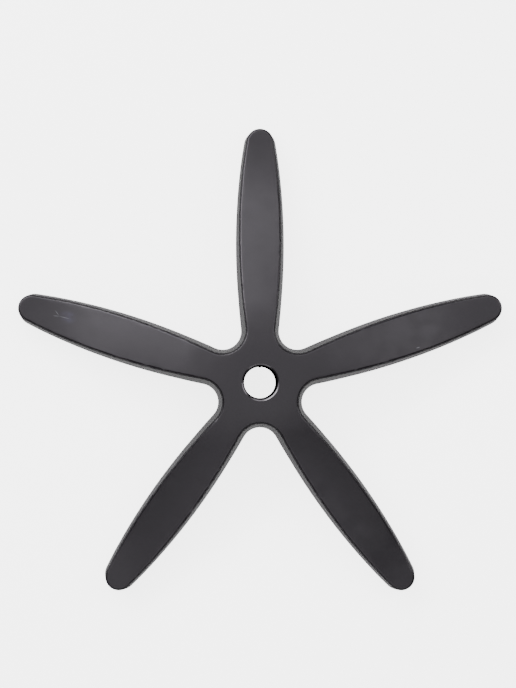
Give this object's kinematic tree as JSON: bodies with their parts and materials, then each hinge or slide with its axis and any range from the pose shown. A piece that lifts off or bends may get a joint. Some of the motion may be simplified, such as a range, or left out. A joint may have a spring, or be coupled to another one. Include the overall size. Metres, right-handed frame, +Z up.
{
  "type": "five star base of an office chair",
  "caption": "Moulded nylon star base with bellied arms, a tapered column socket through the hub, a blind socket for a caster stem near each tip and ribs underneath.",
  "frame": {"origin": "on the hub's axis, at the mouth of the column socket in the hub's level top", "axes": "+Z up along the hub's axis, +Y along the arm that points up in the picture, +X to its right"},
  "size_m": [0.69, 0.6584, 0.092],
  "materials": {
    "moulded_nylon": "satin black glass filled nylon, slightly textured, with a faint scuff near one tip"
  },
  "bodies": {
    "root": {"star_base": "moulded_nylon"}
  },
  "joints": []
}
